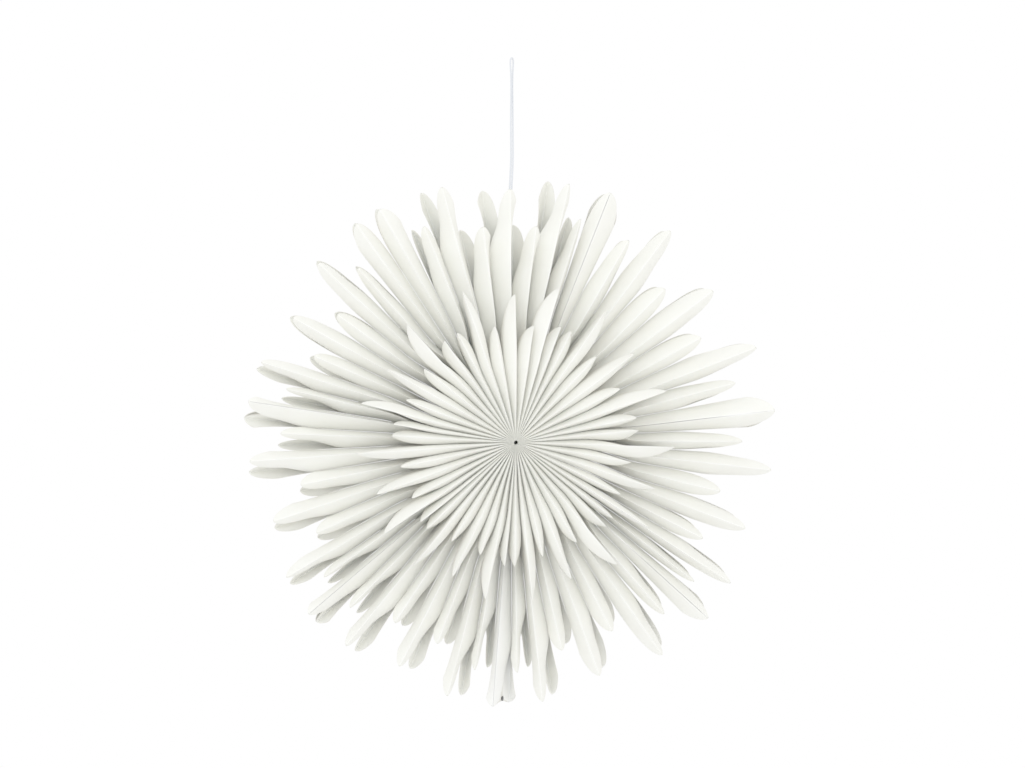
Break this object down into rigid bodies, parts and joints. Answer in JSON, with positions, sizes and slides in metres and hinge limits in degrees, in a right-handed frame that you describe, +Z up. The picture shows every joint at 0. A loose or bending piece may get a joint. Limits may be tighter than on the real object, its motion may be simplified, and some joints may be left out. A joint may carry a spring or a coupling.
{
  "type": "paper snowflake star",
  "caption": "Round hanging star of folded paper bags with long and short leaf-shaped points, opened from a flat pack and closed with magnets.",
  "frame": {"origin": "top of the hanging loop", "axes": "+Z up, +Y from the front of the star to its rear along its axis, +X to the right seen from the front"},
  "size_m": [0.5978, 0.13, 0.7323],
  "materials": {
    "paper": "matt uncoated white paper",
    "cover": "matt white card",
    "magnet": "dark plated magnet",
    "cord": "twisted white cotton"
  },
  "bodies": {
    "middle_bag": {"bag_4_4": "paper", "hanging_cord": "cord"},
    "right_cover": {"seam_cover_right": "cover", "seam_magnet_right": "magnet"},
    "left_cover": {"seam_cover_left": "cover", "seam_magnet_left": "magnet"},
    "bag_1_1": {"bag_1_1": "paper"},
    "bag_1_2": {"bag_1_2": "paper"},
    "bag_1_3": {"bag_1_3": "paper"},
    "bag_1_4": {"bag_1_4": "paper"},
    "bag_1_5": {"bag_1_5": "paper"},
    "bag_1_6": {"bag_1_6": "paper"},
    "bag_1_7": {"bag_1_7": "paper"},
    "end_leaf_1": {"end_leaf_1": "paper"},
    "bag_2_1": {"bag_2_1": "paper"},
    "bag_2_2": {"bag_2_2": "paper"},
    "bag_2_3": {"bag_2_3": "paper"},
    "bag_2_4": {"bag_2_4": "paper"},
    "bag_2_5": {"bag_2_5": "paper"},
    "bag_2_6": {"bag_2_6": "paper"},
    "bag_2_7": {"bag_2_7": "paper"},
    "end_leaf_2": {"end_leaf_2": "paper"},
    "bag_3_1": {"bag_3_1": "paper"},
    "bag_3_2": {"bag_3_2": "paper"},
    "bag_3_3": {"bag_3_3": "paper"},
    "bag_3_4": {"bag_3_4": "paper"},
    "bag_3_5": {"bag_3_5": "paper"},
    "bag_3_6": {"bag_3_6": "paper"},
    "bag_3_7": {"bag_3_7": "paper"},
    "end_leaf_3": {"end_leaf_3": "paper"},
    "bag_4_1": {"bag_4_1": "paper"},
    "bag_4_2": {"bag_4_2": "paper"},
    "bag_4_3": {"bag_4_3": "paper"},
    "bag_4_5": {"bag_4_5": "paper"},
    "bag_4_6": {"bag_4_6": "paper"},
    "bag_4_7": {"bag_4_7": "paper"},
    "end_leaf_4": {"end_leaf_4": "paper"},
    "bag_5_1": {"bag_5_1": "paper"},
    "bag_5_2": {"bag_5_2": "paper"},
    "bag_5_3": {"bag_5_3": "paper"},
    "bag_5_4": {"bag_5_4": "paper"},
    "bag_5_5": {"bag_5_5": "paper"},
    "bag_5_6": {"bag_5_6": "paper"},
    "bag_5_7": {"bag_5_7": "paper"},
    "end_leaf_5": {"end_leaf_5": "paper"},
    "bag_6_1": {"bag_6_1": "paper"},
    "bag_6_2": {"bag_6_2": "paper"},
    "bag_6_3": {"bag_6_3": "paper"},
    "bag_6_4": {"bag_6_4": "paper"},
    "bag_6_5": {"bag_6_5": "paper"},
    "bag_6_6": {"bag_6_6": "paper"},
    "bag_6_7": {"bag_6_7": "paper"},
    "end_leaf_6": {"end_leaf_6": "paper"},
    "bag_7_1": {"bag_7_1": "paper"},
    "bag_7_2": {"bag_7_2": "paper"},
    "bag_7_3": {"bag_7_3": "paper"},
    "bag_7_4": {"bag_7_4": "paper"},
    "bag_7_5": {"bag_7_5": "paper"},
    "bag_7_6": {"bag_7_6": "paper"},
    "bag_7_7": {"bag_7_7": "paper"}
  },
  "joints": [
    {"name": "fold_right", "type": "hinge", "parent": "middle_bag", "child": "right_cover", "pos_m": [-0.002, 0, -0.432], "axis": [0, -1, 0], "range_deg": [0, 178], "deforming": ["seam_cover_right", "bag_4_4"]},
    {"name": "fold_left", "type": "hinge", "parent": "middle_bag", "child": "left_cover", "pos_m": [-0.002, 0, -0.432], "axis": [0, 1, 0], "range_deg": [0, 168], "deforming": ["seam_cover_left"]},
    {"name": "fold_bag_1_1", "type": "hinge", "parent": "middle_bag", "child": "bag_1_1", "pos_m": [-0.002, 0, -0.432], "axis": [0, -1, 0], "range_deg": [0, 173.1], "deforming": ["bag_1_1"]},
    {"name": "fold_bag_1_2", "type": "hinge", "parent": "middle_bag", "child": "bag_1_2", "pos_m": [-0.002, 0, -0.432], "axis": [0, -1, 0], "range_deg": [0, 168.2], "deforming": ["bag_1_2"]},
    {"name": "fold_bag_1_3", "type": "hinge", "parent": "middle_bag", "child": "bag_1_3", "pos_m": [-0.002, 0, -0.432], "axis": [0, -1, 0], "range_deg": [0, 162], "deforming": ["bag_1_3"]},
    {"name": "fold_bag_1_4", "type": "hinge", "parent": "middle_bag", "child": "bag_1_4", "pos_m": [-0.002, 0, -0.432], "axis": [0, -1, 0], "range_deg": [0, 155.5], "deforming": ["bag_1_4"]},
    {"name": "fold_bag_1_5", "type": "hinge", "parent": "middle_bag", "child": "bag_1_5", "pos_m": [-0.002, 0, -0.432], "axis": [0, -1, 0], "range_deg": [0, 148.7], "deforming": ["bag_1_5"]},
    {"name": "fold_bag_1_6", "type": "hinge", "parent": "middle_bag", "child": "bag_1_6", "pos_m": [-0.002, 0, -0.432], "axis": [0, -1, 0], "range_deg": [0, 141.9], "deforming": ["bag_1_6"]},
    {"name": "fold_bag_1_7", "type": "hinge", "parent": "middle_bag", "child": "bag_1_7", "pos_m": [-0.002, 0, -0.432], "axis": [0, -1, 0], "range_deg": [0, 136], "deforming": ["bag_1_7"]},
    {"name": "fold_end_leaf_1", "type": "hinge", "parent": "middle_bag", "child": "end_leaf_1", "pos_m": [-0.002, 0, -0.432], "axis": [0, -1, 0], "range_deg": [0, 129.8], "deforming": ["end_leaf_1"]},
    {"name": "fold_bag_2_1", "type": "hinge", "parent": "middle_bag", "child": "bag_2_1", "pos_m": [-0.002, 0, -0.432], "axis": [0, -1, 0], "range_deg": [0, 125.6], "deforming": ["bag_2_1"]},
    {"name": "fold_bag_2_2", "type": "hinge", "parent": "middle_bag", "child": "bag_2_2", "pos_m": [-0.002, 0, -0.432], "axis": [0, -1, 0], "range_deg": [0, 121.2], "deforming": ["bag_2_2"]},
    {"name": "fold_bag_2_3", "type": "hinge", "parent": "middle_bag", "child": "bag_2_3", "pos_m": [-0.002, 0, -0.432], "axis": [0, -1, 0], "range_deg": [0, 115.5], "deforming": ["bag_2_3"]},
    {"name": "fold_bag_2_4", "type": "hinge", "parent": "middle_bag", "child": "bag_2_4", "pos_m": [-0.002, 0, -0.432], "axis": [0, -1, 0], "range_deg": [0, 109.4], "deforming": ["bag_2_4"]},
    {"name": "fold_bag_2_5", "type": "hinge", "parent": "middle_bag", "child": "bag_2_5", "pos_m": [-0.002, 0, -0.432], "axis": [0, -1, 0], "range_deg": [0, 102.8], "deforming": ["bag_2_5"]},
    {"name": "fold_bag_2_6", "type": "hinge", "parent": "middle_bag", "child": "bag_2_6", "pos_m": [-0.002, 0, -0.432], "axis": [0, -1, 0], "range_deg": [0, 96], "deforming": ["bag_2_6"]},
    {"name": "fold_bag_2_7", "type": "hinge", "parent": "middle_bag", "child": "bag_2_7", "pos_m": [-0.002, 0, -0.432], "axis": [0, -1, 0], "range_deg": [0, 90.1], "deforming": ["bag_2_7"]},
    {"name": "fold_end_leaf_2", "type": "hinge", "parent": "middle_bag", "child": "end_leaf_2", "pos_m": [-0.002, 0, -0.432], "axis": [0, -1, 0], "range_deg": [0, 83.8], "deforming": ["end_leaf_2"]},
    {"name": "fold_bag_3_1", "type": "hinge", "parent": "middle_bag", "child": "bag_3_1", "pos_m": [-0.002, 0, -0.432], "axis": [0, -1, 0], "range_deg": [0, 76], "deforming": ["bag_3_1"]},
    {"name": "fold_bag_3_2", "type": "hinge", "parent": "middle_bag", "child": "bag_3_2", "pos_m": [-0.002, 0, -0.432], "axis": [0, -1, 0], "range_deg": [0, 69.8], "deforming": ["bag_3_2"]},
    {"name": "fold_bag_3_3", "type": "hinge", "parent": "middle_bag", "child": "bag_3_3", "pos_m": [-0.002, 0, -0.432], "axis": [0, -1, 0], "range_deg": [0, 62.2], "deforming": ["bag_3_3"]},
    {"name": "fold_bag_3_4", "type": "hinge", "parent": "middle_bag", "child": "bag_3_4", "pos_m": [-0.002, 0, -0.432], "axis": [0, -1, 0], "range_deg": [0, 54.4], "deforming": ["bag_3_4"]},
    {"name": "fold_bag_3_5", "type": "hinge", "parent": "middle_bag", "child": "bag_3_5", "pos_m": [-0.002, 0, -0.432], "axis": [0, -1, 0], "range_deg": [0, 46.6], "deforming": ["bag_3_5"]},
    {"name": "fold_bag_3_6", "type": "hinge", "parent": "middle_bag", "child": "bag_3_6", "pos_m": [-0.002, 0, -0.432], "axis": [0, -1, 0], "range_deg": [0, 38.8], "deforming": ["bag_3_6"]},
    {"name": "fold_bag_3_7", "type": "hinge", "parent": "middle_bag", "child": "bag_3_7", "pos_m": [-0.002, 0, -0.432], "axis": [0, -1, 0], "range_deg": [0, 32.3], "deforming": ["bag_3_7"]},
    {"name": "fold_end_leaf_3", "type": "hinge", "parent": "middle_bag", "child": "end_leaf_3", "pos_m": [-0.002, 0, -0.432], "axis": [0, -1, 0], "range_deg": [0, 24.2], "deforming": ["end_leaf_3"]},
    {"name": "fold_bag_4_1", "type": "hinge", "parent": "middle_bag", "child": "bag_4_1", "pos_m": [-0.002, 0, -0.432], "axis": [0, -1, 0], "range_deg": [0, 18.8], "deforming": ["bag_4_1"]},
    {"name": "fold_bag_4_2", "type": "hinge", "parent": "middle_bag", "child": "bag_4_2", "pos_m": [-0.002, 0, -0.432], "axis": [0, -1, 0], "range_deg": [0, 13.4], "deforming": ["bag_4_2"]},
    {"name": "fold_bag_4_3", "type": "hinge", "parent": "middle_bag", "child": "bag_4_3", "pos_m": [-0.002, 0, -0.432], "axis": [0, -1, 0], "range_deg": [0, 6.9], "deforming": ["bag_4_3"]},
    {"name": "fold_bag_4_5", "type": "hinge", "parent": "middle_bag", "child": "bag_4_5", "pos_m": [-0.002, 0, -0.432], "axis": [0, 1, 0], "range_deg": [0, 7], "deforming": ["bag_4_5"]},
    {"name": "fold_bag_4_6", "type": "hinge", "parent": "middle_bag", "child": "bag_4_6", "pos_m": [-0.002, 0, -0.432], "axis": [0, 1, 0], "range_deg": [0, 13.9], "deforming": ["bag_4_6"]},
    {"name": "fold_bag_4_7", "type": "hinge", "parent": "middle_bag", "child": "bag_4_7", "pos_m": [-0.002, 0, -0.432], "axis": [0, 1, 0], "range_deg": [0, 19.7], "deforming": ["bag_4_7"]},
    {"name": "fold_end_leaf_4", "type": "hinge", "parent": "middle_bag", "child": "end_leaf_4", "pos_m": [-0.002, 0, -0.432], "axis": [0, 1, 0], "range_deg": [0, 28.5], "deforming": ["end_leaf_4"]},
    {"name": "fold_bag_5_1", "type": "hinge", "parent": "middle_bag", "child": "bag_5_1", "pos_m": [-0.002, 0, -0.432], "axis": [0, 1, 0], "range_deg": [0, 37], "deforming": ["bag_5_1"]},
    {"name": "fold_bag_5_2", "type": "hinge", "parent": "middle_bag", "child": "bag_5_2", "pos_m": [-0.002, 0, -0.432], "axis": [0, 1, 0], "range_deg": [0, 42.4], "deforming": ["bag_5_2"]},
    {"name": "fold_bag_5_3", "type": "hinge", "parent": "middle_bag", "child": "bag_5_3", "pos_m": [-0.002, 0, -0.432], "axis": [0, 1, 0], "range_deg": [0, 48.9], "deforming": ["bag_5_3"]},
    {"name": "fold_bag_5_4", "type": "hinge", "parent": "middle_bag", "child": "bag_5_4", "pos_m": [-0.002, 0, -0.432], "axis": [0, 1, 0], "range_deg": [0, 55.3], "deforming": ["bag_5_4"]},
    {"name": "fold_bag_5_5", "type": "hinge", "parent": "middle_bag", "child": "bag_5_5", "pos_m": [-0.002, 0, -0.432], "axis": [0, 1, 0], "range_deg": [0, 61.5], "deforming": ["bag_5_5"]},
    {"name": "fold_bag_5_6", "type": "hinge", "parent": "middle_bag", "child": "bag_5_6", "pos_m": [-0.002, 0, -0.432], "axis": [0, 1, 0], "range_deg": [0, 67.4], "deforming": ["bag_5_6"]},
    {"name": "fold_bag_5_7", "type": "hinge", "parent": "middle_bag", "child": "bag_5_7", "pos_m": [-0.002, 0, -0.432], "axis": [0, 1, 0], "range_deg": [0, 72.2], "deforming": ["bag_5_7"]},
    {"name": "fold_end_leaf_5", "type": "hinge", "parent": "middle_bag", "child": "end_leaf_5", "pos_m": [-0.002, 0, -0.432], "axis": [0, 1, 0], "range_deg": [0, 77], "deforming": ["end_leaf_5"]},
    {"name": "fold_bag_6_1", "type": "hinge", "parent": "middle_bag", "child": "bag_6_1", "pos_m": [-0.002, 0, -0.432], "axis": [0, 1, 0], "range_deg": [0, 83.1], "deforming": ["bag_6_1"]},
    {"name": "fold_bag_6_2", "type": "hinge", "parent": "middle_bag", "child": "bag_6_2", "pos_m": [-0.002, 0, -0.432], "axis": [0, 1, 0], "range_deg": [0, 88.9], "deforming": ["bag_6_2"]},
    {"name": "fold_bag_6_3", "type": "hinge", "parent": "middle_bag", "child": "bag_6_3", "pos_m": [-0.002, 0, -0.432], "axis": [0, 1, 0], "range_deg": [0, 95.6], "deforming": ["bag_6_3"]},
    {"name": "fold_bag_6_4", "type": "hinge", "parent": "middle_bag", "child": "bag_6_4", "pos_m": [-0.002, 0, -0.432], "axis": [0, 1, 0], "range_deg": [0, 102.1], "deforming": ["bag_6_4"]},
    {"name": "fold_bag_6_5", "type": "hinge", "parent": "middle_bag", "child": "bag_6_5", "pos_m": [-0.002, 0, -0.432], "axis": [0, 1, 0], "range_deg": [0, 108.4], "deforming": ["bag_6_5"]},
    {"name": "fold_bag_6_6", "type": "hinge", "parent": "middle_bag", "child": "bag_6_6", "pos_m": [-0.002, 0, -0.432], "axis": [0, 1, 0], "range_deg": [0, 114.3], "deforming": ["bag_6_6"]},
    {"name": "fold_bag_6_7", "type": "hinge", "parent": "middle_bag", "child": "bag_6_7", "pos_m": [-0.002, 0, -0.432], "axis": [0, 1, 0], "range_deg": [0, 119], "deforming": ["bag_6_7"]},
    {"name": "fold_end_leaf_6", "type": "hinge", "parent": "middle_bag", "child": "end_leaf_6", "pos_m": [-0.002, 0, -0.432], "axis": [0, 1, 0], "range_deg": [0, 123.6], "deforming": ["end_leaf_6"]},
    {"name": "fold_bag_7_1", "type": "hinge", "parent": "middle_bag", "child": "bag_7_1", "pos_m": [-0.002, 0, -0.432], "axis": [0, 1, 0], "range_deg": [0, 128.8], "deforming": ["bag_7_1"]},
    {"name": "fold_bag_7_2", "type": "hinge", "parent": "middle_bag", "child": "bag_7_2", "pos_m": [-0.002, 0, -0.432], "axis": [0, 1, 0], "range_deg": [0, 133.8], "deforming": ["bag_7_2"]},
    {"name": "fold_bag_7_3", "type": "hinge", "parent": "middle_bag", "child": "bag_7_3", "pos_m": [-0.002, 0, -0.432], "axis": [0, 1, 0], "range_deg": [0, 139.8], "deforming": ["bag_7_3"]},
    {"name": "fold_bag_7_4", "type": "hinge", "parent": "middle_bag", "child": "bag_7_4", "pos_m": [-0.002, 0, -0.432], "axis": [0, 1, 0], "range_deg": [0, 146], "deforming": ["bag_7_4"]},
    {"name": "fold_bag_7_5", "type": "hinge", "parent": "middle_bag", "child": "bag_7_5", "pos_m": [-0.002, 0, -0.432], "axis": [0, 1, 0], "range_deg": [0, 152.1], "deforming": ["bag_7_5"]},
    {"name": "fold_bag_7_6", "type": "hinge", "parent": "middle_bag", "child": "bag_7_6", "pos_m": [-0.002, 0, -0.432], "axis": [0, 1, 0], "range_deg": [0, 158.1], "deforming": ["bag_7_6"]},
    {"name": "fold_bag_7_7", "type": "hinge", "parent": "middle_bag", "child": "bag_7_7", "pos_m": [-0.002, 0, -0.432], "axis": [0, 1, 0], "range_deg": [0, 163], "deforming": ["bag_7_7"]}
  ],
  "couplings": [
    {"joint": "fold_bag_1_1", "follows": "fold_right", "ratio": 0.9724},
    {"joint": "fold_bag_1_2", "follows": "fold_right", "ratio": 0.9446},
    {"joint": "fold_bag_1_3", "follows": "fold_right", "ratio": 0.9099},
    {"joint": "fold_bag_1_4", "follows": "fold_right", "ratio": 0.8732},
    {"joint": "fold_bag_1_5", "follows": "fold_right", "ratio": 0.8352},
    {"joint": "fold_bag_1_6", "follows": "fold_right", "ratio": 0.7967},
    {"joint": "fold_bag_1_7", "follows": "fold_right", "ratio": 0.7638},
    {"joint": "fold_end_leaf_1", "follows": "fold_right", "ratio": 0.7292},
    {"joint": "fold_bag_2_1", "follows": "fold_right", "ratio": 0.7053},
    {"joint": "fold_bag_2_2", "follows": "fold_right", "ratio": 0.6805},
    {"joint": "fold_bag_2_3", "follows": "fold_right", "ratio": 0.6488},
    {"joint": "fold_bag_2_4", "follows": "fold_right", "ratio": 0.6142},
    {"joint": "fold_bag_2_5", "follows": "fold_right", "ratio": 0.5774},
    {"joint": "fold_bag_2_6", "follows": "fold_right", "ratio": 0.5393},
    {"joint": "fold_bag_2_7", "follows": "fold_right", "ratio": 0.5061},
    {"joint": "fold_end_leaf_2", "follows": "fold_right", "ratio": 0.4705},
    {"joint": "fold_bag_3_1", "follows": "fold_right", "ratio": 0.4268},
    {"joint": "fold_bag_3_2", "follows": "fold_right", "ratio": 0.3918},
    {"joint": "fold_bag_3_3", "follows": "fold_right", "ratio": 0.3494},
    {"joint": "fold_bag_3_4", "follows": "fold_right", "ratio": 0.3056},
    {"joint": "fold_bag_3_5", "follows": "fold_right", "ratio": 0.2614},
    {"joint": "fold_bag_3_6", "follows": "fold_right", "ratio": 0.2179},
    {"joint": "fold_bag_3_7", "follows": "fold_right", "ratio": 0.1814},
    {"joint": "fold_end_leaf_3", "follows": "fold_right", "ratio": 0.1356},
    {"joint": "fold_bag_4_1", "follows": "fold_right", "ratio": 0.1052},
    {"joint": "fold_bag_4_2", "follows": "fold_right", "ratio": 0.0751},
    {"joint": "fold_bag_4_3", "follows": "fold_right", "ratio": 0.0383},
    {"joint": "fold_bag_4_5", "follows": "fold_left", "ratio": 0.0412},
    {"joint": "fold_bag_4_6", "follows": "fold_left", "ratio": 0.0822},
    {"joint": "fold_bag_4_7", "follows": "fold_left", "ratio": 0.1167},
    {"joint": "fold_end_leaf_4", "follows": "fold_left", "ratio": 0.1691},
    {"joint": "fold_bag_5_1", "follows": "fold_left", "ratio": 0.2197},
    {"joint": "fold_bag_5_2", "follows": "fold_left", "ratio": 0.2523},
    {"joint": "fold_bag_5_3", "follows": "fold_left", "ratio": 0.2906},
    {"joint": "fold_bag_5_4", "follows": "fold_left", "ratio": 0.3288},
    {"joint": "fold_bag_5_5", "follows": "fold_left", "ratio": 0.3658},
    {"joint": "fold_bag_5_6", "follows": "fold_left", "ratio": 0.401},
    {"joint": "fold_bag_5_7", "follows": "fold_left", "ratio": 0.4294},
    {"joint": "fold_end_leaf_5", "follows": "fold_left", "ratio": 0.4578},
    {"joint": "fold_bag_6_1", "follows": "fold_left", "ratio": 0.4943},
    {"joint": "fold_bag_6_2", "follows": "fold_left", "ratio": 0.5287},
    {"joint": "fold_bag_6_3", "follows": "fold_left", "ratio": 0.5686},
    {"joint": "fold_bag_6_4", "follows": "fold_left", "ratio": 0.6077},
    {"joint": "fold_bag_6_5", "follows": "fold_left", "ratio": 0.6452},
    {"joint": "fold_bag_6_6", "follows": "fold_left", "ratio": 0.6801},
    {"joint": "fold_bag_6_7", "follows": "fold_left", "ratio": 0.7079},
    {"joint": "fold_end_leaf_6", "follows": "fold_left", "ratio": 0.7352},
    {"joint": "fold_bag_7_1", "follows": "fold_left", "ratio": 0.7661},
    {"joint": "fold_bag_7_2", "follows": "fold_left", "ratio": 0.796},
    {"joint": "fold_bag_7_3", "follows": "fold_left", "ratio": 0.832},
    {"joint": "fold_bag_7_4", "follows": "fold_left", "ratio": 0.8686},
    {"joint": "fold_bag_7_5", "follows": "fold_left", "ratio": 0.9051},
    {"joint": "fold_bag_7_6", "follows": "fold_left", "ratio": 0.9406},
    {"joint": "fold_bag_7_7", "follows": "fold_left", "ratio": 0.97}
  ]
}
